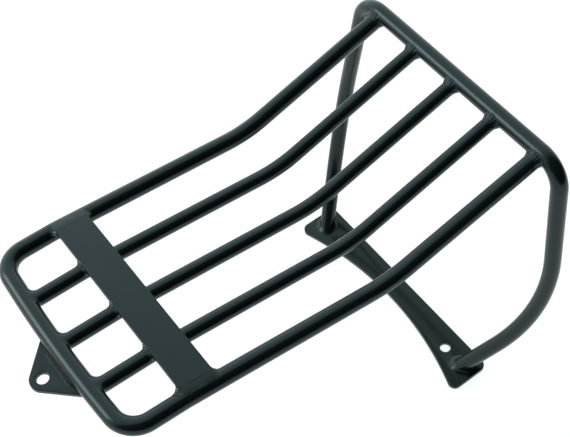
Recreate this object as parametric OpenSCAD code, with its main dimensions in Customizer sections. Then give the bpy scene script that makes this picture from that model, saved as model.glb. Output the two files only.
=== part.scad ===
// Welded luggage rack that bolts over a rear fender.
// Lengths are in millimetres. X points to the right, Y to the rear and Z up.
// The origin is the middle of the cross plate's top face, on the rack's centre line.

/* [Round bar] */
// Diameter of the outer rail and of the rear hoop
rail_d = 12.7; // [10:0.1:14]
// Diameter of the three inner bars
bar_d = 11.1; // [8:0.1:12]

/* [Deck] */
// Width of the deck rail at the front, centre to centre
front_w = 163; // [150:1:180]
// Width of the deck rail at the hoop, centre to centre
rear_w = 173; // [165:1:190]
// Distance from the front rod to the hoop bar, centre to centre
deck_len = 331; // [315:1:345]
// Distance from the front rod to the bend that lifts the rear of the deck
knee_y = 205; // [190:1:225]
// Angle of the raised rear part of the deck, in degrees
rise_angle = 22.3; // [15:0.1:26]
// Centre line radius of that bend
knee_r = 86; // [60:1:100]
// Length of the nose, where the deck dips towards the front rod
nose_len = 42; // [41:0.5:50]
// How far the front rod sits below the flat part of the deck
nose_drop = 3.4; // [1:0.1:5]
// Centre line radius of the two front corners
corner_r = 18; // [15:1:25]
// How far the front rod bows forward at its middle, before rounding
front_bow = 4.4; // [1:0.1:8]
// Distance between the inner bars at the front rod
bar_pitch_front = 41; // [38:0.5:43]
// Distance between the inner bars at the hoop
bar_pitch_rear = 43; // [40:0.5:45]
// How far the inner bars lie below the rails on the flat part
bar_drop = 1; // [0.5:0.1:2]

/* [Rear hoop] */
// Width of the hoop's top corners, vertex to vertex
hoop_w = 212; // [205:1:220]
// Height of the hoop bar above the flat part of the deck
hoop_h = 54.5; // [50:0.5:58]
// Centre line radius of the hoop's top corners
hoop_corner_r = 22.5; // [20:0.5:28]
// Width of the legs where they turn inward, vertex to vertex
elbow_w = 256; // [245:1:265]
// Height of that turn below the flat part of the deck
elbow_drop = 93; // [85:1:100]
// How far the turn lies behind the hoop bar
elbow_back = 7; // [0:0.5:12]
// Centre line radius of that turn
elbow_r = 168; // [140:1:175]

/* [Feet] */
// Distance between the two feet on the strap, centre to centre
foot_w = 180; // [172:1:186]
// How far the feet lie in front of the hoop bar
foot_forward = 30.4; // [25:0.1:36]
// Height of the strap's top face at the feet, below the flat part of the deck
foot_drop = 180.4; // [175:0.1:186]

/* [Mounting strap] */
// Length of the strap across the rack
strap_len = 206; // [204:1:216]
// Width of the strap at its middle
strap_mid = 19; // [17:0.5:22]
// Width of the strap at its two ends
strap_end = 38; // [36:0.5:40]
// Thickness of the strap
strap_t = 4; // [3:0.1:5]
// Slope of the strap, down towards the front, in degrees
strap_tilt = 8; // [0:0.5:12]
// Corner radius of the strap
strap_corner_r = 6; // [3:0.5:7]
// Distance from the strap's rear edge to the middle of each foot
foot_inset = 16.6; // [15:0.1:19]
// Distance between the strap's bolt holes
strap_hole_w = 138; // [130:1:142]
// Distance from the strap's rear edge to its bolt holes
strap_hole_inset = 15.5; // [14:0.5:17]
// Diameter of every bolt hole, for a 5/16 inch bolt
hole_d = 8.7; // [8.3:0.1:9.2]

/* [Front tab] */
// Distance from under the front rod to the tab's bolt hole
tab_reach = 18.5; // [17:0.5:22]
// Radius of the tab's round nose, about its bolt hole
tab_r = 9; // [8:0.5:11]
// How far the tab sits to the right of the centre line
tab_x = 10; // [0:0.5:14]
// Thickness of the tab
tab_t = 4; // [3:0.1:5]
// Slope of the tab, down towards the front, in degrees
tab_tilt = 8; // [0:0.5:12]

/* [Cross plate] */
// Width of the cross plate, front to rear
plate_w = 25.4; // [22:0.1:30]
// Thickness of the cross plate
plate_t = 3; // [2:0.1:3.5]
// Distance from the front rod to the middle of the cross plate
plate_y = 53.3; // [50:0.1:60]

/* [Welds] */
// Width of the weld fillets at the ends of the bars and rails
weld_leg = 3.5; // [2:0.1:4]
// Width of the small weld fillets on the cross plate
plate_weld = 2.6; // [2:0.1:3]

/* [Hidden] */
$fn = 64;

rail_r = rail_d / 2;
bar_r = bar_d / 2;
// Bars and rails stop this far short of the hoop bar's centre line
end_gap = 4;
// Inner bars start this far behind the front rod's vertices
bar_start = 1.5;
// Centre line radius of the slight bends at the back of the nose
nose_r = 60;
// The front rod's bow reaches this far to each side
bow_reach = 60;
bow_turn = atan(front_bow / (front_w / 2));
bow_r = bow_reach / tan(bow_turn);
// Bends are a hair thicker than straights, and straights run a little way into them
bend_over = 0.05;
overlap = 0.3;
bend_steps = 16;
// Room between a cut end and the bar that it is fitted to, on the diameter
fit_gap = 0.04;
// How far a bar's fillet stands above and below it where it meets a thicker bar
weld_rise = 0.5;
// Length of the weld between the front rod and the tab, and how far it reaches out
tab_weld_len = 44;
tab_weld_leg = 2.2;
// Longer than any cut is deep, and longer than any weld is wide
deep = 60;
far = 30;

// Places on the deck, counted from the front corner vertices and the rails' flat part
hoop_z = hoop_h;
bar_z = -bar_drop;
bar_front_z = -nose_drop - bar_drop - 0.4;
bar_rear_z = hoop_z - 2;
rail_rear_z = (deck_len - knee_y) * tan(rise_angle);
plate_bottom = bar_z + bar_r;
plate_top = plate_bottom + plate_t;
// Half the plate's length, from the centre line to the rails' flanks, is rail_x(y) - flank
flank = sqrt(rail_r * rail_r - plate_bottom * plate_bottom) + 0.05;

black = [0.05, 0.06, 0.06];
weld_black = [0.09, 0.10, 0.10];

// ---------- vectors and bent bars ----------

function unit(v) = v / norm(v);
function turn(a, b, c) = acos(unit(b - a) * unit(c - b));
function tangent(a, b, c, r) = r * tan(turn(a, b, c) / 2);
// Width of the deck rail at a distance y behind the front rod
function rail_x(y) = (front_w + (rear_w - front_w) * y / deck_len) / 2;
// Offset of an inner bar at a distance y behind the front rod
function bar_x(side, y) = side * (bar_pitch_front + (bar_pitch_rear - bar_pitch_front) * y / deck_len);

// Distance of the front rod's centre line behind its corner vertices, at x
function rod_y(x) = bow_r * (1 / cos(bow_turn) - 1) - front_bow + x * x / (2 * bow_r);

// Turns the Z axis to the direction v
module point_along(v) {
    rotate([0, acos(unit(v).z), atan2(v.y, v.x)])
        children();
}

module straight(p, q, d) {
    translate(p)
        point_along(q - p)
            cylinder(d = d, h = norm(q - p));
}

// One bend of radius r at the vertex b, between the legs a-b and b-c
module bend(a, b, c, r, d) {
    t = tangent(a, b, c, r);
    start = b - t * unit(b - a);
    along = unit(b - a);
    across = unit(unit(c - b) - along * (unit(c - b) * along));
    side = cross(-across, along);
    centre = start + r * across;
    multmatrix([[-across.x, along.x, side.x, centre.x],
                [-across.y, along.y, side.y, centre.y],
                [-across.z, along.z, side.z, centre.z],
                [0, 0, 0, 1]])
        rotate_extrude(angle = turn(a, b, c), $fn = bend_steps * 360 / turn(a, b, c))
            translate([r, 0])
                circle(d = d + bend_over, $fn = 64);
}

// A round bar along the vertices, with radii[i] at vertex i (the two ends have none)
module bent_bar(vertices, radii, d) {
    last = len(vertices) - 1;
    cut = [for (i = [0:last]) i == 0 || i == last ? 0
           : tangent(vertices[i - 1], vertices[i], vertices[i + 1], radii[i])];
    for (i = [0:last - 1]) {
        way = unit(vertices[i + 1] - vertices[i]);
        lead = i == 0 ? 0 : cut[i] - overlap;
        trail = i == last - 1 ? 0 : cut[i + 1] - overlap;
        straight(vertices[i] + way * lead, vertices[i + 1] - way * trail, d);
    }
    for (i = [1:last - 1])
        bend(vertices[i - 1], vertices[i], vertices[i + 1], radii[i], d);
}

// Moves the layout, which starts at the front rod, so that the origin is the middle of the cross plate's top face
module in_frame() {
    translate([0, -plate_y, -plate_top])
        children();
}

// ---------- centre lines ----------

function rail_side(side) = [
    [side * rail_x(deck_len - end_gap), deck_len - end_gap, rail_rear_z - end_gap * tan(rise_angle)],
    [side * rail_x(knee_y), knee_y, 0],
    [side * rail_x(nose_len), nose_len, 0],
    [side * rail_x(0), 0, -nose_drop]];
rail_line = concat(rail_side(-1), [[0, -front_bow, -nose_drop]],
                   [for (i = [3:-1:0]) rail_side(1)[i]]);
rail_radii = [0, knee_r, nose_r, corner_r, bow_r, corner_r, nose_r, knee_r, 0];

bar_slope = (bar_rear_z - bar_z) / (deck_len - knee_y);
function bar_line(side) = [
    [bar_x(side, bar_start), bar_start, bar_front_z + bar_start * (bar_z - bar_front_z) / nose_len],
    [bar_x(side, nose_len), nose_len, bar_z],
    [bar_x(side, knee_y), knee_y, bar_z],
    [bar_x(side, deck_len - end_gap), deck_len - end_gap, bar_rear_z - end_gap * bar_slope]];

function foot(side) = [side * foot_w / 2, deck_len - foot_forward, -foot_drop];
function elbow(side) = [side * elbow_w / 2, deck_len + elbow_back, -elbow_drop];
// Direction of a leg's lower stretch, upwards
function leg_way(side) = unit(elbow(side) - foot(side));
// The legs run on through the strap's top plane, where they are cut to length
function hoop_leg(side) = [foot(side) - rail_d * leg_way(side), elbow(side),
                           [side * hoop_w / 2, deck_len, hoop_z]];
hoop_line = concat(hoop_leg(-1), [for (i = [2:-1:0]) hoop_leg(1)[i]]);
hoop_radii = [0, elbow_r, hoop_corner_r, hoop_corner_r, elbow_r, 0];

// ---------- shared solids ----------

module hoop_bar(d) {
    straight([-hoop_w / 2, deck_len, hoop_z], [hoop_w / 2, deck_len, hoop_z], d);
}

// The bowed middle of the front rod, which the bars meet
module front_rod(d) {
    bend([-rail_x(0), 0, -nose_drop], [0, -front_bow, -nose_drop],
         [rail_x(0), 0, -nose_drop], bow_r, d);
}

// A straight stand-in for the front rod near x, along the rod's own direction there
module rod_near(x, d) {
    step = [far, far * x / bow_r, 0];
    middle = [x, rod_y(x), -nose_drop];
    straight(middle - step, middle + step, d);
}

// Puts children in the strap's plane: origin on the rear edge, Y forward is negative
module on_strap() {
    translate([0, deck_len - foot_forward, -foot_drop])
        rotate([strap_tilt, 0, 0])
            translate([0, foot_inset, 0])
                children();
}

module below_strap_top() {
    on_strap()
        translate([-strap_len, -strap_len, -deep])
            cube([2 * strap_len, 2 * strap_len, deep]);
}

// Puts children in the tab's plane: origin on the tab's top face, under the front rod
module on_tab() {
    translate([tab_x, rod_y(0), -nose_drop])
        rotate([tab_tilt, 0, 0])
            translate([0, 0, -rail_r - fit_gap])
                children();
}

// ---------- bent bars ----------

module rear_hoop() {
    color(black)
        in_frame()
            difference() {
                bent_bar(hoop_line, hoop_radii, rail_d);
                below_strap_top();
            }
}

module deck_rail() {
    color(black)
        in_frame()
            difference() {
                bent_bar(rail_line, rail_radii, rail_d);
                hoop_bar(rail_d + fit_gap);
            }
}

module inner_bar(side) {
    color(black)
        in_frame()
            difference() {
                bent_bar(bar_line(side), [0, nose_r, knee_r, 0], bar_d);
                front_rod(rail_d);
                hoop_bar(rail_d + fit_gap);
            }
}

// ---------- flat parts ----------

module cross_plate() {
    front = plate_y - plate_w / 2;
    rear = plate_y + plate_w / 2;
    color(black)
        in_frame()
            translate([0, 0, plate_bottom])
                linear_extrude(plate_t)
                    polygon([[-rail_x(front) + flank, front], [rail_x(front) - flank, front],
                             [rail_x(rear) - flank, rear], [-rail_x(rear) + flank, rear]]);
}

// Outline of the tab, forward of the front rod: two 45 degree edges and a round nose
module tab_outline() {
    lap = 3;
    apex = tab_reach + tab_r * sqrt(2);
    touch = tab_r / sqrt(2);
    difference() {
        polygon([[-apex, 0], [-apex, lap], [apex, lap], [apex, 0], [0, -apex]]);
        difference() {
            polygon([[0, -tab_reach], [touch, -tab_reach - touch], [touch, -apex - 1],
                     [-touch, -apex - 1], [-touch, -tab_reach - touch]]);
            translate([0, -tab_reach])
                circle(r = tab_r);
        }
    }
}

module front_mount_tab() {
    color(black)
        in_frame()
            on_tab()
                translate([0, 0, -tab_t])
                    difference() {
                        linear_extrude(tab_t)
                            tab_outline();
                        translate([0, -tab_reach, -1])
                            cylinder(d = hole_d, h = tab_t + 2);
                    }
}

// Outline of the strap, with its rear edge on the X axis
module strap_outline() {
    half = strap_len / 2;
    rise = strap_end - strap_mid;
    arc_r = (half * half + rise * rise) / (2 * rise);
    arc_y = -strap_mid - arc_r;
    round_x = half - strap_corner_r;
    round_y = arc_y + sqrt(pow(arc_r + strap_corner_r, 2) - round_x * round_x);
    touch = [0, arc_y] + unit([round_x, round_y - arc_y]) * arc_r;
    difference() {
        translate([-half, -strap_end])
            square([strap_len, strap_end]);
        translate([0, arc_y])
            circle(r = arc_r, $fn = 180);
        for (side = [-1, 1])
            scale([side, 1]) {
                difference() {
                    translate([round_x, -strap_corner_r])
                        square(2 * strap_corner_r);
                    translate([round_x, -strap_corner_r])
                        circle(r = strap_corner_r);
                }
                difference() {
                    polygon([[round_x, round_y], [half + 1, round_y], [half + 1, -strap_end - 1],
                             [touch.x, -strap_end - 1], touch]);
                    translate([round_x, round_y])
                        circle(r = strap_corner_r);
                }
            }
    }
}

module rear_mount_strap() {
    color(black)
        in_frame()
            on_strap()
                translate([0, 0, -strap_t])
                    difference() {
                        linear_extrude(strap_t)
                            strap_outline();
                        for (side = [-1, 1])
                            translate([side * strap_hole_w / 2, -strap_hole_inset, -1])
                                cylinder(d = hole_d, h = strap_t + 2);
                    }
}

// ---------- welds ----------

// A flared ring around a bar of diameter d, widest along its first stretch of length base
module flare(d, base, leg) {
    r = d / 2;
    rotate_extrude($fn = 96)
        difference() {
            square([r + leg, base + leg]);
            translate([r + leg, base + leg])
                circle(r = leg);
        }
}

// A slab around the Z axis, from low to high along Y
module slab(low, high) {
    translate([-far, low, 0])
        cube([2 * far, high - low, far]);
}

// Fillet around a bar of diameter d that leaves the point p in the direction way
module end_fillet(p, way, d) {
    translate(p)
        rotate([acos(way.z), 0, atan2(way.x, -way.y)])
            intersection() {
                flare(d, rail_r, weld_leg);
                slab(-d / 2 - weld_rise, d / 2 + weld_rise);
            }
}

module weld_front(side) {
    bar = bar_line(side);
    way = unit(bar[1] - bar[0]);
    back = (bar[0].y - rod_y(bar[0].x)) / way.y;
    color(weld_black)
        in_frame()
            difference() {
                end_fillet(bar[0] - back * way, way, bar_d);
                rod_near(bar[0].x, rail_d + fit_gap);
                straight(bar[0], bar[1], bar_d + fit_gap);
            }
}

// Weld of a bar of diameter d between the vertices a and b, with b at the hoop bar
module weld_at_hoop(a, b, d) {
    way = unit(b - a);
    reach = (deck_len - a.y) / way.y;
    color(weld_black)
        in_frame()
            difference() {
                end_fillet(a + reach * way, -way, d);
                hoop_bar(rail_d + fit_gap);
                straight(a, b, d + fit_gap);
            }
}

module weld_rear(side) {
    weld_at_hoop(bar_line(side)[2], bar_line(side)[3], bar_d);
}

module weld_rail(side) {
    weld_at_hoop(rail_side(side)[1], rail_side(side)[0], rail_d);
}

module weld_foot(side) {
    way = leg_way(side);
    sunk = 6;
    color(weld_black)
        in_frame()
            difference() {
                translate(foot(side) - sunk * way)
                    point_along(way)
                        flare(rail_d, sunk + weld_leg, weld_leg);
                below_strap_top();
                straight(foot(side) - far * way, foot(side) + far * way, rail_d + fit_gap);
            }
}

// Fillet that fills the valley between an end of the cross plate and the rail beside it
module weld_plate(side) {
    front = plate_y - plate_w / 2;
    lean = atan((rear_w - front_w) / 2 / deck_len);
    // Heights and distances out from the plate's end
    root = 0.5;
    crown = 0.4;
    section = [[plate_top - crown, 0], [plate_bottom - root, 0], [plate_bottom - root, flank / 2],
               [rail_r - crown, flank - crown]];
    color(weld_black)
        in_frame()
            difference() {
                translate([side * (rail_x(front) - flank + fit_gap), front, 0])
                    rotate([0, 0, -side * lean])
                        mirror([side < 0 ? 1 : 0, 0, 0])
                            rotate([-90, -90, 0])
                                linear_extrude(plate_w)
                                    polygon(section);
                straight([side * rail_x(nose_len), nose_len, 0],
                         [side * rail_x(knee_y), knee_y, 0], rail_d + fit_gap);
                straight([side * rail_x(0), 0, -nose_drop],
                         [side * rail_x(nose_len), nose_len, 0], rail_d + fit_gap);
            }
}

// Two small fillets where an inner bar passes under the plate's front and rear edges
module weld_plate_bar(side) {
    top = bar_r + plate_t - weld_rise;
    base = 0.2;
    color(weld_black)
        in_frame()
            difference() {
                translate([bar_x(side, plate_y), plate_y, bar_z])
                    for (flip = [0, 1])
                        mirror([0, flip, 0])
                            translate([0, plate_w / 2 + fit_gap, 0])
                                rotate([-90, 0, 0])
                                    intersection() {
                                        flare(bar_d, base, plate_weld);
                                        slab(-top, -bar_r * 0.3);
                                    }
                translate([bar_x(side, plate_y), 0, bar_z])
                    rotate([-90, 0, 0])
                        cylinder(d = bar_d + fit_gap, h = 2 * plate_y);
            }
}

// Fillet between the front rod and the top of the tab
module weld_tab() {
    section = [[-rail_r - tab_weld_leg, 0], [-rail_r / 4, 0], [-rail_r / 2, rail_r]];
    color(weld_black)
        in_frame()
            difference() {
                on_tab()
                    translate([-tab_weld_len / 2, 0, fit_gap / 2])
                        rotate([90, 0, 90])
                            linear_extrude(tab_weld_len)
                                polygon(section);
                rod_near(tab_x, rail_d + fit_gap);
            }
}

rear_hoop();
deck_rail();
inner_bar(-1);  // inner_bar_left
inner_bar(0);  // inner_bar_center
inner_bar(1);  // inner_bar_right
cross_plate();
front_mount_tab();
rear_mount_strap();
weld_front(-1);  // weld_front_left
weld_front(0);  // weld_front_center
weld_front(1);  // weld_front_right
weld_rear(-1);  // weld_rear_left
weld_rear(0);  // weld_rear_center
weld_rear(1);  // weld_rear_right
weld_rail(-1);  // weld_rail_left
weld_rail(1);  // weld_rail_right
weld_foot(-1);  // weld_foot_left
weld_foot(1);  // weld_foot_right
weld_plate(-1);  // weld_plate_left
weld_plate(1);  // weld_plate_right
weld_plate_bar(-1);  // weld_plate_bar_left
weld_plate_bar(0);  // weld_plate_bar_center
weld_plate_bar(1);  // weld_plate_bar_right
weld_tab();
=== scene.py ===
"""Looks of the welded luggage rack: coated bars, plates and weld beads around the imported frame."""
import math

import bmesh
import bpy
import numpy as np
from mathutils import Matrix, Vector


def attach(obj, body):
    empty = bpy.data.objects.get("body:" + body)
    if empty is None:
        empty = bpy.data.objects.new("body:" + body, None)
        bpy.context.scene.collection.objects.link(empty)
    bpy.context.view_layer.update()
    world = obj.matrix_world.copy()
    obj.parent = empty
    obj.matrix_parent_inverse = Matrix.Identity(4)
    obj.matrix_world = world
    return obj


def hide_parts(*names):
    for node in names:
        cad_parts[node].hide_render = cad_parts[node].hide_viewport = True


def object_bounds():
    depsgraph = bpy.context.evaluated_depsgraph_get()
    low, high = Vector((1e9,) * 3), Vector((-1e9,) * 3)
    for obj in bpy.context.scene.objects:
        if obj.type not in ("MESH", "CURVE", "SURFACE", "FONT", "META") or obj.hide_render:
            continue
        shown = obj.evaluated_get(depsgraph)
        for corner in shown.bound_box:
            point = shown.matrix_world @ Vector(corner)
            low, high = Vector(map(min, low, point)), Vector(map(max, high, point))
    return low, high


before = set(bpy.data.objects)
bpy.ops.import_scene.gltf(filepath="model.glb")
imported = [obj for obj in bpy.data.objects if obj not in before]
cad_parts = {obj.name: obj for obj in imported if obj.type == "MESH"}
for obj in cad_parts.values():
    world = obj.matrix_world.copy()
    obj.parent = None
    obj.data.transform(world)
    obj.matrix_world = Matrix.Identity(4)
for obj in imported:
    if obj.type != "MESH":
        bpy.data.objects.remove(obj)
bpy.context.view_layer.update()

MM = 0.001
BODY = "root"
# Points closer than this, in metres, become one
MERGE_GAP = 2e-6

# ---------- driving dimensions, in millimetres, as in the part's source ----------

RAIL_D = 12.7
BAR_D = 11.1
FRONT_W = 163.0
REAR_W = 173.0
DECK_LEN = 331.0
KNEE_Y = 205.0
KNEE_R = 86.0
RISE_DEG = 22.3
NOSE_LEN = 42.0
NOSE_DROP = 3.4
NOSE_R = 60.0
CORNER_R = 18.0
FRONT_BOW = 4.4
BOW_REACH = 60.0
BAR_PITCH_FRONT = 41.0
BAR_PITCH_REAR = 43.0
BAR_DROP = 1.0
HOOP_W = 212.0
HOOP_H = 54.5
HOOP_CORNER_R = 22.5
ELBOW_W = 256.0
ELBOW_DROP = 93.0
ELBOW_BACK = 7.0
ELBOW_R = 168.0
FOOT_W = 180.0
FOOT_FORWARD = 30.4
FOOT_DROP = 180.4
STRAP_LEN = 206.0
STRAP_MID = 19.0
STRAP_END = 38.0
STRAP_T = 4.0
STRAP_TILT = 8.0
STRAP_CORNER_R = 6.0
FOOT_INSET = 16.6
STRAP_HOLE_W = 138.0
STRAP_HOLE_INSET = 15.5
HOLE_D = 8.7
TAB_REACH = 18.5
TAB_R = 9.0
TAB_X = 10.0
TAB_T = 4.0
TAB_TILT = 8.0
PLATE_W = 25.4
PLATE_T = 3.0
PLATE_Y = 53.3

RAIL_R = RAIL_D / 2
BAR_R = BAR_D / 2
BAR_Z = -BAR_DROP
BAR_SINK = 0.4
BAR_FRONT_Z = -NOSE_DROP - BAR_DROP - BAR_SINK
BAR_REAR_DROP = 2.0
BAR_REAR_Z = HOOP_H - BAR_REAR_DROP
BAR_START = 1.5
END_GAP = 4.0
FIT_GAP = 0.04
EDGE_R = 0.5
TAB_EDGE_R = 0.6
PLATE_BOTTOM = BAR_Z + BAR_R
PLATE_TOP = PLATE_BOTTOM + PLATE_T
PLATE_FRONT = PLATE_Y - PLATE_W / 2
PLATE_REAR = PLATE_Y + PLATE_W / 2
BOW_TURN = math.atan(FRONT_BOW / (FRONT_W / 2))
BOW_R = BOW_REACH / math.tan(BOW_TURN)
# How far inside the rail's centre line the plate ends, where its bottom meets the rail
FLANK = math.sqrt(RAIL_R ** 2 - PLATE_BOTTOM ** 2)
SIDES = {"left": -1, "right": 1}
INNER_BARS = {"left": -1, "center": 0, "right": 1}


def vec(*v):
    return np.array(v, float)


def unit(v):
    return v / np.linalg.norm(v)


def rail_x(y):
    return (FRONT_W + (REAR_W - FRONT_W) * y / DECK_LEN) / 2


def bar_x(side, y):
    return side * (BAR_PITCH_FRONT + (BAR_PITCH_REAR - BAR_PITCH_FRONT) * y / DECK_LEN)


def rod_y(x):
    """Where the bowed front rod's centre line lies at x."""
    return BOW_R * (1 / math.cos(BOW_TURN) - 1) - FRONT_BOW + x * x / (2 * BOW_R)


def tilted_up(degrees):
    """The normal of a plate that slopes down towards the front."""
    tilt = math.radians(degrees)
    return vec(0, -math.sin(tilt), math.cos(tilt))


WAVE_PEAK = 1.6


def waves(t, seed, count=5):
    """A smooth repeatable wobble over the angle t, of about -1 to 1."""
    rng = np.random.default_rng(seed)
    total = np.zeros_like(np.asarray(t, float))
    for k in range(1, count + 1):
        total += rng.uniform(0.3, 1.0) / k * np.sin(k * t + rng.uniform(0, 2 * math.pi))
    return total / WAVE_PEAK


# ---------- centre lines, with Y counted from the deck's front corner vertices ----------

def rail_side(side):
    rise = math.tan(math.radians(RISE_DEG))
    end = DECK_LEN - END_GAP
    return [vec(side * rail_x(end), end, (end - KNEE_Y) * rise),
            vec(side * rail_x(KNEE_Y), KNEE_Y, 0),
            vec(side * rail_x(NOSE_LEN), NOSE_LEN, 0),
            vec(side * rail_x(0), 0, -NOSE_DROP)]


def rail_line():
    return rail_side(-1) + [vec(0, -FRONT_BOW, -NOSE_DROP)] + rail_side(1)[::-1]


RAIL_RADII = [0, KNEE_R, NOSE_R, CORNER_R, BOW_R, CORNER_R, NOSE_R, KNEE_R, 0]


def bar_line(side):
    end = DECK_LEN - END_GAP
    slope = (BAR_REAR_Z - BAR_Z) / (DECK_LEN - KNEE_Y)
    start_z = BAR_FRONT_Z + BAR_START * (BAR_Z - BAR_FRONT_Z) / NOSE_LEN
    return [vec(bar_x(side, BAR_START), BAR_START, start_z),
            vec(bar_x(side, NOSE_LEN), NOSE_LEN, BAR_Z),
            vec(bar_x(side, KNEE_Y), KNEE_Y, BAR_Z),
            vec(bar_x(side, end), end, BAR_REAR_Z - END_GAP * slope)]


BAR_RADII = [0, NOSE_R, KNEE_R, 0]


def foot(side):
    return vec(side * FOOT_W / 2, DECK_LEN - FOOT_FORWARD, -FOOT_DROP)


def elbow(side):
    return vec(side * ELBOW_W / 2, DECK_LEN + ELBOW_BACK, -ELBOW_DROP)


def leg_way(side):
    return unit(elbow(side) - foot(side))


def hoop_leg(side):
    sunk = 1.0
    return [foot(side) - sunk * leg_way(side), elbow(side), vec(side * HOOP_W / 2, DECK_LEN, HOOP_H)]


def hoop_line():
    return hoop_leg(-1) + hoop_leg(1)[::-1]


HOOP_RADII = [0, ELBOW_R, HOOP_CORNER_R, HOOP_CORNER_R, ELBOW_R, 0]


# ---------- mesh helpers ----------

def to_frame(points):
    """Layout millimetres to metres in the row's frame."""
    return (np.asarray(points, float) - vec(0, PLATE_Y, PLATE_TOP)) * MM


def make_piece(name, points, faces, material, replaced, sharp_deg):
    mesh = bpy.data.meshes.new(name)
    mesh.from_pydata([tuple(p) for p in to_frame(points)], [], faces)
    mesh.validate()
    mesh.update()
    piece = bpy.data.objects.new(name, mesh)
    bpy.context.scene.collection.objects.link(piece)
    finish_piece(piece, material, replaced, sharp_deg)


def finish_piece(piece, material, replaced, sharp_deg):
    """Shades a piece smooth up to sharp_deg and places it on the frame."""
    mesh = piece.data
    mesh.materials.clear()
    mesh.materials.append(material)
    for polygon in mesh.polygons:
        polygon.use_smooth = True
    mesh.set_sharp_from_angle(angle=math.radians(sharp_deg))
    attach(piece, BODY)
    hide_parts(*replaced)


def rounded_line(vertices, radii, step=3.0, arc_steps=36):
    """Points along straights and round bends, with the direction at each."""
    points, ways = [], []
    last = len(vertices) - 1
    here = vertices[0]
    for i in range(1, last + 1):
        way = unit(vertices[i] - vertices[i - 1])
        cut = 0.0
        if i < last:
            onward = unit(vertices[i + 1] - vertices[i])
            turn = math.acos(np.clip(way @ onward, -1, 1))
            cut = radii[i] * math.tan(turn / 2)
        stop = vertices[i] - way * cut
        count = max(2, int(np.linalg.norm(stop - here) / step))
        for k in range(count):
            points.append(here + (stop - here) * k / count)
            ways.append(way)
        if i == last:
            points.append(stop)
            ways.append(way)
            break
        across = unit(onward - way * (onward @ way))
        for k in range(arc_steps):
            a = turn * k / arc_steps
            points.append(stop + radii[i] * (math.sin(a) * way + (1 - math.cos(a)) * across))
            ways.append(math.cos(a) * way + math.sin(a) * across)
        here = vertices[i] + onward * cut
    return np.array(points), np.array(ways)


def sweep(points, ways, radius, sides=56):
    """A closed round bar along the points."""
    off_axis = vec(0.3, 0.1, 1.0)
    normal = unit(np.cross(ways[0], off_axis))
    rings = []
    angles = np.arange(sides) * 2 * math.pi / sides
    for point, way in zip(points, ways):
        normal = unit(normal - way * (normal @ way))
        other = np.cross(way, normal)
        spokes = np.cos(angles)[:, None] * normal + np.sin(angles)[:, None] * other
        rings.append(point + radius * spokes)
    verts = list(np.vstack(rings))
    faces = tube_faces(len(rings), sides)
    faces.append(list(range(sides))[::-1])
    faces.append([(len(rings) - 1) * sides + k for k in range(sides)])
    return verts, faces


def tube_faces(rings, sides, closed=False):
    """Quads between neighbouring rings, and from the last ring to the first if closed."""
    faces = []
    for i in range(rings if closed else rings - 1):
        j = (i + 1) % rings
        for k in range(sides):
            n = (k + 1) % sides
            faces.append([i * sides + k, i * sides + n, j * sides + n, j * sides + k])
    return faces


def loft(sections, closed):
    """Joins cross sections, each a closed loop of the same number of points."""
    count, sides = len(sections), len(sections[0])
    verts = [p for section in sections for p in section]
    faces = tube_faces(count, sides, closed)
    if not closed:
        faces.append(list(range(sides))[::-1])
        faces.append([(count - 1) * sides + k for k in range(sides)])
    return verts, faces


def cubic(a, b, c, d, count):
    """count points on the Bezier curve from a to d."""
    t = np.linspace(0, 1, count)[:, None]
    return (1 - t) ** 3 * a + 3 * t * (1 - t) ** 2 * b + 3 * t * t * (1 - t) * c + t ** 3 * d


# ---------- materials ----------

COAT_TINT = (0.76, 1.0, 1.0, 1)
DUST = (0.10, 0.11, 0.11, 1)
DUST_ROUGHNESS = 0.3
# Noise features per metre, roughly
PATCH_SCALE = 38.0
PEEL_SCALE = 420.0
GRAIN_SCALE = 1500.0
DUST_SCALE = 2600.0


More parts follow.
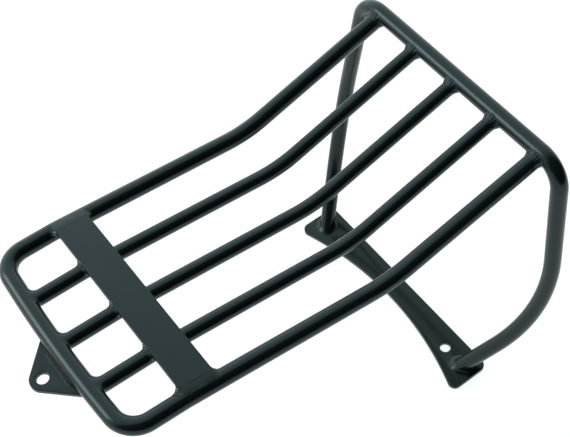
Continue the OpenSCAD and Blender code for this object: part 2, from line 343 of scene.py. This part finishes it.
def coat_material(name, base, rough, peel, grain, shine=0.36):
    """Gloss black powder coat with faint dust and small changes of gloss.

    peel and grain are the heights, in metres, of its orange peel and its fine grain.
    """
    material = bpy.data.materials.new(name)
    material.use_nodes = True
    nodes, links = material.node_tree.nodes, material.node_tree.links
    shader = nodes["Principled BSDF"]
    shader.inputs["Metallic"].default_value = 0.0
    shader.inputs["IOR"].default_value = 1.5
    shader.inputs["Specular IOR Level"].default_value = shine
    shader.inputs["Specular Tint"].default_value = COAT_TINT
    place = nodes.new("ShaderNodeTexCoord")

    def noise(scale, detail):
        node = nodes.new("ShaderNodeTexNoise")
        node.inputs["Scale"].default_value = scale
        node.inputs["Detail"].default_value = detail
        links.new(place.outputs["Object"], node.inputs["Vector"])
        return node.outputs["Fac"]

    def ramp(value, low, high, first, second):
        node = nodes.new("ShaderNodeMapRange")
        node.inputs["From Min"].default_value = low
        node.inputs["From Max"].default_value = high
        node.inputs["To Min"].default_value = first
        node.inputs["To Max"].default_value = second
        links.new(value, node.inputs["Value"])
        return node.outputs["Result"]

    def bump(height, distance):
        node = nodes.new("ShaderNodeBump")
        node.inputs["Strength"].default_value = 1.0
        node.inputs["Distance"].default_value = distance
        links.new(height, node.inputs["Height"])
        return node

    patches = noise(PATCH_SCALE, 3.0)
    specks = noise(DUST_SCALE, 2.0)
    dust = ramp(specks, 0.70, 0.80, 0.0, 1.0)
    spread = ramp(patches, 0.35, 0.70, 0.0, 0.5)
    amount = nodes.new("ShaderNodeMath")
    amount.operation = "MULTIPLY"
    links.new(dust, amount.inputs[0])
    links.new(spread, amount.inputs[1])

    colour = nodes.new("ShaderNodeMix")
    colour.data_type = "RGBA"
    colour.inputs["A"].default_value = (*base, 1)
    colour.inputs["B"].default_value = DUST
    links.new(amount.outputs[0], colour.inputs["Factor"])
    links.new(colour.outputs["Result"], shader.inputs["Base Color"])

    gloss = ramp(patches, 0.3, 0.7, rough * 0.88, rough * 1.15)
    rougher = nodes.new("ShaderNodeMath")
    rougher.operation = "MULTIPLY_ADD"
    links.new(amount.outputs[0], rougher.inputs[0])
    rougher.inputs[1].default_value = DUST_ROUGHNESS
    links.new(gloss, rougher.inputs[2])
    links.new(rougher.outputs[0], shader.inputs["Roughness"])

    peel_bump = bump(noise(PEEL_SCALE, 1.0), peel)
    fine_bump = bump(noise(GRAIN_SCALE, 2.0), grain)
    links.new(peel_bump.outputs["Normal"], fine_bump.inputs["Normal"])
    links.new(fine_bump.outputs["Normal"], shader.inputs["Normal"])
    return material


BLACK = (0.0035, 0.0056, 0.0074)
COAT = coat_material("black_coat", BLACK, rough=0.20, peel=0.00004, grain=0.000005)
PLATE_COAT = coat_material("plate_coat", (0.0040, 0.0068, 0.0088),
                           rough=0.33, peel=0.00003, grain=0.000008, shine=0.34)
STRAP_COAT = coat_material("strap_coat", (0.0025, 0.0042, 0.0056),
                           rough=0.19, peel=0.000004, grain=0.000003, shine=0.31)
WELD_COAT = coat_material("weld_coat", BLACK, rough=0.22, peel=0.00012, grain=0.00001)


# ---------- bars ----------

BAR_SHARP = 40
PLATE_SHARP = 35
WELD_SHARP = 28


def bar_piece(name, line, radii, radius, node):
    points, ways = rounded_line(line, radii)
    verts, faces = sweep(points, ways, radius)
    make_piece(name, verts, faces, COAT, [node], BAR_SHARP)


bar_piece("hoop_bar", hoop_line(), HOOP_RADII, RAIL_R, "rear_hoop")
bar_piece("rail_bar", rail_line(), RAIL_RADII, RAIL_R, "deck_rail")
for word, side in INNER_BARS.items():
    bar_piece(f"deck_bar_{word}", bar_line(side), BAR_RADII, BAR_R, f"inner_bar_{word}")


# ---------- flat parts ----------

def arc(centre, radius, start_deg, end_deg, steps):
    angles = np.radians(np.linspace(start_deg, end_deg, steps))
    return [(centre[0] + radius * math.cos(a), centre[1] + radius * math.sin(a)) for a in angles]


def plate_piece(name, outline, holes, thickness, edge, place, node, material):
    """A flat plate with rounded edges. place moves its top face, drawn in XY, to the layout."""
    curve = bpy.data.curves.new(name, "CURVE")
    curve.dimensions = "2D"
    curve.fill_mode = "BOTH"
    curve.extrude = thickness / 2 - edge
    curve.bevel_depth = edge
    curve.bevel_resolution = 4
    curve.offset = -edge
    for loop in [outline] + holes:
        spline = curve.splines.new("POLY")
        spline.points.add(len(loop) - 1)
        for point, (x, y) in zip(spline.points, loop):
            point.co = (x, y, 0, 1)
        spline.use_cyclic_u = True
    maker = bpy.data.objects.new(name + "_maker", curve)
    bpy.context.scene.collection.objects.link(maker)
    bpy.context.view_layer.update()
    evaluated = maker.evaluated_get(bpy.context.evaluated_depsgraph_get())
    mesh = bpy.data.meshes.new_from_object(evaluated)
    mesh.name = name
    bpy.data.objects.remove(maker)
    bpy.data.curves.remove(curve)
    mesh.transform(Matrix.Translation((0, 0, -thickness / 2)))
    mesh.transform(place)
    shift = Matrix.Translation((0, -PLATE_Y, -PLATE_TOP))
    mesh.transform(Matrix.Scale(MM, 4) @ shift)
    merge(mesh)
    piece = bpy.data.objects.new(name, mesh)
    bpy.context.scene.collection.objects.link(piece)
    finish_piece(piece, material, [node], PLATE_SHARP)


def merge(mesh):
    """Closes the seams of a mesh made from a curve."""
    work = bmesh.new()
    work.from_mesh(mesh)
    bmesh.ops.remove_doubles(work, verts=work.verts, dist=MERGE_GAP)
    bmesh.ops.recalc_face_normals(work, faces=work.faces)
    work.to_mesh(mesh)
    work.free()


def circle(centre, radius, steps=48):
    return arc(centre, radius, 0, 360 * (1 - 1 / steps), steps)


def strap_outline():
    """Straight rear edge on the X axis, rounded corners and an arched front edge."""
    half = STRAP_LEN / 2
    rise = STRAP_END - STRAP_MID
    arc_r = (half * half + rise * rise) / (2 * rise)
    arc_y = -STRAP_MID - arc_r
    r = STRAP_CORNER_R
    round_x = half - r
    round_y = arc_y + math.sqrt((arc_r + r) ** 2 - round_x ** 2)
    lean = math.degrees(math.atan2(round_y - arc_y, round_x))
    points = arc((-round_x, -r), r, 180, 90, 9) + arc((round_x, -r), r, 90, 0, 9)
    points += arc((round_x, round_y), r, 0, lean - 180, 11)
    points += arc((0, arc_y), arc_r, lean, 180 - lean, 60)[1:-1]
    points += arc((-round_x, round_y), r, -lean, -180, 11)
    return points


def tab_outline():
    """Two 45 degree edges from the rod's middle to a round nose, with a lap behind them."""
    lap = 3.0
    apex = TAB_REACH + TAB_R * math.sqrt(2)
    nose = arc((0, -TAB_REACH), TAB_R, -45, -135, 21)
    return [(-apex, lap), (apex, lap), (apex, 0)] + nose + [(-apex, 0)]


STRAP_PLACE = (Matrix.Translation((0, DECK_LEN - FOOT_FORWARD, -FOOT_DROP))
               @ Matrix.Rotation(math.radians(STRAP_TILT), 4, "X")
               @ Matrix.Translation((0, FOOT_INSET, 0)))
TAB_PLACE = (Matrix.Translation((TAB_X, rod_y(0), -NOSE_DROP))
             @ Matrix.Rotation(math.radians(TAB_TILT), 4, "X")
             @ Matrix.Translation((0, 0, -RAIL_R - FIT_GAP)))

plate_piece("mounting_strap", strap_outline(),
            [circle((s * STRAP_HOLE_W / 2, -STRAP_HOLE_INSET), HOLE_D / 2) for s in (-1, 1)],
            STRAP_T, EDGE_R, STRAP_PLACE, "rear_mount_strap", STRAP_COAT)
plate_piece("mounting_tab", tab_outline(), [circle((0, -TAB_REACH), HOLE_D / 2)],
            TAB_T, TAB_EDGE_R, TAB_PLACE, "front_mount_tab", PLATE_COAT)
plate_piece("deck_plate",
            [(-rail_x(PLATE_REAR) + FLANK, PLATE_REAR), (rail_x(PLATE_REAR) - FLANK, PLATE_REAR),
             (rail_x(PLATE_FRONT) - FLANK, PLATE_FRONT), (-rail_x(PLATE_FRONT) + FLANK, PLATE_FRONT)],
            [], PLATE_T, EDGE_R, Matrix.Translation((0, 0, PLATE_TOP)), "cross_plate", PLATE_COAT)


# ---------- welds ----------

def weld_piece(name, verts, faces, node):
    make_piece(name, verts, faces, WELD_COAT, [node], WELD_SHARP)


def fillet(name, node, centre, way, radius, target, legs, fat, seed, bias):
    """Weld around a bar of the given radius that leaves centre along way.

    target(point, way) finds the other surface. legs are the weld's lengths along the bar and out
    over that surface, fat is how far it bulges, and it is larger on the side that bias points to.
    """
    around, across = 120, 14
    uneven, biased, ripples, ripple_size = 0.14, 0.40, 17, 0.25
    handle, lean_back, tiny = 0.62, 0.25, 1e-6
    lip, lip_sink, sunk = 0.4, 0.25, 0.8
    side = unit(np.cross(way, vec(0, 0, 1)))
    over = np.cross(side, way)
    angles = np.arange(around) * 2 * math.pi / around
    wobble = waves(angles, seed)
    ripple = np.cos(angles * ripples + 2 * waves(angles, seed + 1))
    swell = np.sin(np.linspace(0, math.pi, across))[:, None]
    sections = []
    for a, w, r in zip(angles, wobble, ripple):
        normal = math.cos(a) * side + math.sin(a) * over
        joint, surface, move = target(centre + radius * normal, way)
        grow = (1 + uneven * w) * (1 + biased * (normal @ bias))
        along, out = legs[0] * grow, legs[1] * grow
        sheet = normal - surface * (normal @ surface)
        back = -way + surface * (way @ surface)
        sheet = unit(sheet + back * lean_back + tiny * side)
        upper = joint + way * along
        lower, lower_way = move(joint, sheet, out)
        line = cubic(upper, upper - way * along * handle, lower - lower_way * out * handle, lower, across)
        line = line + unit(normal + surface) * swell * (fat * (1 + ripple_size * r))
        sections.append(np.vstack([upper + way * lip - normal * lip_sink, line,
                                   lower + lower_way * lip - surface * lip_sink,
                                   joint - normal * sunk - surface * sunk]))
    verts, faces = loft(sections, True)
    weld_piece(name, verts, faces, node)


# How far a weld's toe sinks where a line along its bar misses the other bar
MISS_SINK = 0.3


def onto_round(axis_point, axis, radius):
    """The target of a weld on a round bar: the point reached, the normal there and a way to move on it."""
    def target(point, way):
        off = point - axis_point
        off = off - axis * (off @ axis)
        flat = way - axis * (way @ axis)
        a, b, c = flat @ flat, off @ flat, off @ off - radius ** 2
        root = b * b - a * c
        t = (-b + math.sqrt(root)) / a if root > 0 else -b / a
        joint = point + way * t
        spoke = joint - axis_point
        surface = unit(spoke - axis * (spoke @ axis))

        def move(start, sheet, out):
            round_part = sheet - axis * (sheet @ axis)
            turn = np.linalg.norm(round_part) * out / radius
            spin = round_part / max(np.linalg.norm(round_part), 1e-9)
            normal = math.cos(turn) * surface + math.sin(turn) * spin
            tangent = math.cos(turn) * spin - math.sin(turn) * surface
            foot_point = start + axis * (sheet @ axis) * out + radius * (normal - surface)
            if root <= 0:
                foot_point = foot_point - surface * MISS_SINK
            return foot_point, unit(axis * (sheet @ axis) + tangent * np.linalg.norm(round_part))
        return joint, surface, move
    return target


def onto_flat(plane_point, plane_normal):
    """The target of a weld on a flat plate."""
    def target(point, way):
        t = ((plane_point - point) @ plane_normal) / (way @ plane_normal)

        def move(start, sheet, out):
            return start + sheet * out, sheet
        return point + way * t, plane_normal, move
    return target


def hoop_weld(name, node, a, b, radius, seed):
    """Weld between the hoop bar and the end of a bar that runs from a to b."""
    way = unit(b - a)
    centre = a + way * ((DECK_LEN - a[1]) / way[1])
    target = onto_round(vec(0, DECK_LEN, HOOP_H), vec(1, 0, 0), RAIL_R)
    fillet(name, node, centre, -way, radius, target,
           legs=(4.4, 2.7), fat=0.45, seed=seed, bias=vec(0.25, 0, -0.3))


def front_weld(name, node, a, b, seed):
    """Weld between the front rod and an inner bar that starts from a towards b."""
    way = unit(b - a)
    rod = vec(a[0], rod_y(a[0]), -NOSE_DROP)
    rod_way = unit(vec(1, rod[0] / BOW_R, 0))
    centre = a - way * ((a[1] - rod[1]) / way[1])
    target = onto_round(rod, rod_way, RAIL_R)
    fillet(name, node, centre, way, BAR_R, target,
           legs=(4.4, 3.8), fat=0.05, seed=seed, bias=vec(-0.7, 0, -0.1))


def foot_weld(name, node, side, seed):
    """Weld between a leg's foot and the strap's top face."""
    target = onto_flat(foot(side), tilted_up(STRAP_TILT))
    fillet(name, node, foot(side), leg_way(side), RAIL_R, target,
           legs=(4.2, 3.2), fat=0.2, seed=seed, bias=vec(-0.1, -0.3, 0))


for number, (word, side) in enumerate(INNER_BARS.items()):
    line = bar_line(side)
    hoop_weld(f"bead_rear_{word}", f"weld_rear_{word}", line[2], line[3], BAR_R, 10 + number)
    front_weld(f"bead_front_{word}", f"weld_front_{word}", line[0], line[1], 20 + number)
for number, (word, side) in enumerate(SIDES.items()):
    line = rail_side(side)
    hoop_weld(f"bead_rail_{word}", f"weld_rail_{word}", line[1], line[0], RAIL_R, 30 + number)
    foot_weld(f"bead_foot_{word}", f"weld_foot_{word}", side, 40 + number)


def plate_end_bead(name, node, side, seed):
    """From the rail's crown over the plate's end onto its top, with round corners past its edges."""
    corner, onto_plate, uneven = 5.0, 3.2, 0.6
    crown_deg, crown_wave, crown_turn = -16, 4, 50
    low = math.radians(52)
    low_x, low_z = RAIL_R * math.sin(low), RAIL_R * math.cos(low)
    proud, film, sink = 0.01, 0.004, 0.1
    web_drop, web_power, lip = 0.3, 0.6, 0.3
    sections = []
    ys = np.linspace(PLATE_FRONT - corner, PLATE_REAR + corner, 90)
    wobble = waves(ys * 0.35, seed)
    for y, w in zip(ys, wobble):
        past = max(PLATE_FRONT - y, y - PLATE_REAR, 0.0)
        x = rail_x(y)
        crown = math.radians(crown_deg + crown_wave * w + crown_turn * past / corner)
        start = vec(x - RAIL_R * math.sin(crown), y, RAIL_R * math.cos(crown) + proud)
        start_way = vec(-math.cos(crown), 0, -math.sin(crown))
        if past == 0:
            end = vec(x - FLANK - onto_plate - uneven * w, y, PLATE_TOP + film)
            end_way = vec(-1, 0, 0)
            reach = onto_plate
            under = end + vec(0.2, 0, -0.8)
        else:
            hug = corner - math.sqrt(max(corner ** 2 - (corner - past) ** 2, 0))
            share = hug / corner
            web_rise = (PLATE_TOP - web_drop - low_z) * share ** web_power
            end = vec(x - low_x - hug, y, low_z - sink + web_rise)
            end_way = unit(vec(-math.cos(low), 0, -math.sin(low) * (1 - share)))
            reach = 1.2
            under = vec(end[0] + lip, y, PLATE_BOTTOM - 1.4)
        line = cubic(start, start + start_way * reach, end - end_way * reach, end, 12)
        root = vec(x - FLANK + 0.4, y, PLATE_BOTTOM - 1.2)
        section = np.vstack([start + vec(lip, 0, -0.4), line, under, root])
        section[:, 0] *= side
        sections.append(section if side > 0 else section[::-1])
    verts, faces = loft(sections, False)
    weld_piece(name, verts, faces, node)


def plate_bar_bead(name, node, side, seed):
    """Two short flares where an inner bar passes under the plate's edges, larger on the left."""
    reach, proud, uneven, core = 2.6, 0.01, 0.12, 0.8
    degrees = np.linspace(-88, 76, 42)
    angles = np.radians(degrees)
    # How far the flare stands off the bar at angles from straight up, left first
    swell = np.interp(degrees, [-88, -55, -45, -15, 0, 15, 42, 52, 76],
                      [0, 3.2, 2.3, 0.4, 0.1, 0.4, 1.7, 1.9, 0])
    spokes = np.column_stack([np.sin(angles), 0 * angles, np.cos(angles)])
    verts, faces = [], []
    for edge_y, out in ((PLATE_FRONT, -1), (PLATE_REAR, 1)):
        lumps = 1 + uneven * waves(angles * 2, seed + out)
        sections = []
        for e in np.append(-0.5, np.linspace(0, 1, 12) ** 1.6 * reach):
            near = min(max(1 - e / reach, 0), 0.999)
            size = BAR_R + proud + swell * lumps * (1 - math.sqrt(1 - near ** 2))
            centre = vec(bar_x(side, edge_y), edge_y + out * e, BAR_Z)
            section = np.vstack([centre + size[:, None] * spokes,
                                 centre + core * BAR_R * spokes[::-3]])
            sections.append(section if out > 0 else section[::-1])
        more, quads = loft(sections, False)
        faces += [[i + len(verts) for i in face] for face in quads]
        verts += more
    weld_piece(name, verts, faces, node)


def tab_bead(name, node, seed):
    """Fillet in the corner between the front rod and the tab's top face, fading out at its ends."""
    half = 21.5
    past_rod, uneven, ripple_size, ripple_rate = 2.0, 0.4, 0.12, 3.1
    high_deg, high_wave, high_fade, bulge_size, sunk = -16, 6, 45, 0.25, 0.4
    tab_up = tilted_up(TAB_TILT)
    tab_out = vec(0, -tab_up[2], tab_up[1])
    sections = []
    xs = np.linspace(-half, half, 90)
    wobble = waves(xs * 0.3, seed)
    swell = np.sin(np.linspace(0, math.pi, 12))[:, None]
    for x, w in zip(xs, wobble):
        fade = math.sqrt(max(1 - (abs(x) / half) ** 6, 0.03))
        rod = vec(TAB_X + x, rod_y(TAB_X + x), -NOSE_DROP)
        touch = vec(TAB_X + x, rod_y(0), -NOSE_DROP) - tab_up * (RAIL_R + FIT_GAP)
        leg = (RAIL_R + past_rod + uneven * w + ripple_size * math.sin(x * ripple_rate)) * fade
        high = math.radians(high_deg - high_wave * w * fade - high_fade * (1 - fade))
        spoke = vec(0, -math.cos(high), math.sin(high))
        down = vec(0, -math.sin(high), -math.cos(high))
        top = rod + RAIL_R * spoke
        end = touch + tab_out * leg
        line = cubic(top, top + down * 1.5 * fade, end - tab_out * fade, end, 12)
        line = line + unit(spoke + tab_up) * (bulge_size * fade * swell)
        sections.append(np.vstack([top - spoke * sunk, line, end - tab_up * sunk, touch - tab_up * sunk]))
    verts, faces = loft(sections, False)
    weld_piece(name, verts, faces, node)


for number, (word, side) in enumerate(SIDES.items()):
    plate_end_bead(f"bead_plate_{word}", f"weld_plate_{word}", side, 50 + number)
for number, (word, side) in enumerate(INNER_BARS.items()):
    plate_bar_bead(f"bead_plate_bar_{word}", f"weld_plate_bar_{word}", side, 60 + number)
tab_bead("bead_tab", "weld_tab", 70)


# ---------- floor, light and camera ----------

FLOOR_SIZE = 8
FLOOR_Y = 0.1
FLOOR_COLOUR = (0.2, 0.2, 0.2, 1)
FLOOR_ROUGHNESS = 0.9
FLOOR_GLOW = 0.92
FLOOR_GLOW_COLOUR = (0.96, 1, 1, 1)
MIDDLE = (0.0, 0.12, 0.0)
BOX_PLACE = (-1.16, -1.75, 1.05)
BOX_SIZE = 1.3
BOX_POWER = 24
# The tent's brightness overhead, its gain at the left foot, and the dark half's share of it
TENT_TOP = 1.00
TENT_RISE = 0.90
TENT_DARK = 0.12
TENT_COLOUR = (0.89, 1.0, 1.02, 1)
# X of the directions where the tent has faded out and where it has its full strength
TENT_EDGE = 0.24
TENT_FULL = -0.04


def floor_material():
    """A white floor that glows, so that it stays white under the rack."""
    material = bpy.data.materials.new("floor")
    material.use_nodes = True
    shader = material.node_tree.nodes["Principled BSDF"]
    shader.inputs["Base Color"].default_value = FLOOR_COLOUR
    shader.inputs["Roughness"].default_value = FLOOR_ROUGHNESS
    shader.inputs["Emission Color"].default_value = FLOOR_GLOW_COLOUR
    shader.inputs["Emission Strength"].default_value = FLOOR_GLOW
    return material


def studio_floor():
    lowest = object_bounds()[0][2]
    bpy.ops.mesh.primitive_plane_add(size=FLOOR_SIZE, location=(0, FLOOR_Y, lowest))
    floor = bpy.context.object
    floor.name = "floor"
    floor.data.materials.append(floor_material())


def softbox():
    """A square light at the front left, aimed at the middle of the rack."""
    light = bpy.data.lights.new("front_left", "AREA")
    light.shape = "SQUARE"
    light.size = BOX_SIZE
    light.energy = BOX_POWER
    holder = bpy.data.objects.new("front_left", light)
    bpy.context.scene.collection.objects.link(holder)
    holder.location = BOX_PLACE
    holder.rotation_euler = (Vector(MIDDLE) - Vector(BOX_PLACE)).to_track_quat("-Z", "Y").to_euler()


def studio_world():
    """A white tent over the left half of the set, brighter towards its foot, and a dark right half."""
    world = bpy.data.worlds.new("studio")
    bpy.context.scene.world = world
    world.use_nodes = True
    nodes, links = world.node_tree.nodes, world.node_tree.links
    place = nodes.new("ShaderNodeTexCoord")
    split = nodes.new("ShaderNodeSeparateXYZ")
    links.new(place.outputs["Generated"], split.inputs[0])
    half = nodes.new("ShaderNodeMapRange")
    half.interpolation_type = "SMOOTHSTEP"
    half.inputs["From Min"].default_value = TENT_EDGE
    half.inputs["From Max"].default_value = TENT_FULL
    half.inputs["To Min"].default_value = TENT_DARK
    half.inputs["To Max"].default_value = 1.0
    links.new(split.outputs["X"], half.inputs["Value"])
    rise = nodes.new("ShaderNodeMath")
    rise.operation = "MULTIPLY_ADD"
    links.new(split.outputs["X"], rise.inputs[0])
    rise.inputs[1].default_value = -TENT_RISE
    rise.inputs[2].default_value = TENT_TOP
    level = nodes.new("ShaderNodeMath")
    level.operation = "MULTIPLY"
    links.new(half.outputs["Result"], level.inputs[0])
    links.new(rise.outputs[0], level.inputs[1])
    links.new(level.outputs[0], nodes["Background"].inputs["Strength"])
    nodes["Background"].inputs["Color"].default_value = TENT_COLOUR


studio_floor()
softbox()
studio_world()
bpy.context.scene.view_settings.view_transform = "Standard"

CAM_TARGET = (0.01232, 0.11654, 0.01245)
CAM_AZIMUTH = 51.255
CAM_ELEVATION = 50.122
CAM_ROLL = 3.157
CAM_DISTANCE = 0.834071
CAM_LENS = 77.237
CAM_SENSOR = 36.0


def add_camera():
    """Stands at an azimuth and elevation from the target, rolled about its line of sight."""
    azimuth, elevation, roll = (math.radians(a) for a in (CAM_AZIMUTH, CAM_ELEVATION, CAM_ROLL))
    flat = math.cos(elevation)
    back = Vector((math.sin(azimuth) * flat, -math.cos(azimuth) * flat, math.sin(elevation)))
    right = Vector((math.cos(azimuth), math.sin(azimuth), 0))
    up = back.cross(right)
    cam_right = right * math.cos(roll) + up * math.sin(roll)
    cam_up = up * math.cos(roll) - right * math.sin(roll)
    data = bpy.data.cameras.new("camera")
    data.sensor_width = CAM_SENSOR
    data.sensor_fit = "HORIZONTAL"
    data.lens = CAM_LENS
    camera = bpy.data.objects.new("camera", data)
    bpy.context.scene.collection.objects.link(camera)
    place = Matrix.Translation(Vector(CAM_TARGET) + back * CAM_DISTANCE)
    camera.matrix_world = place @ Matrix((cam_right, cam_up, back)).transposed().to_4x4()
    bpy.context.scene.camera = camera


add_camera()
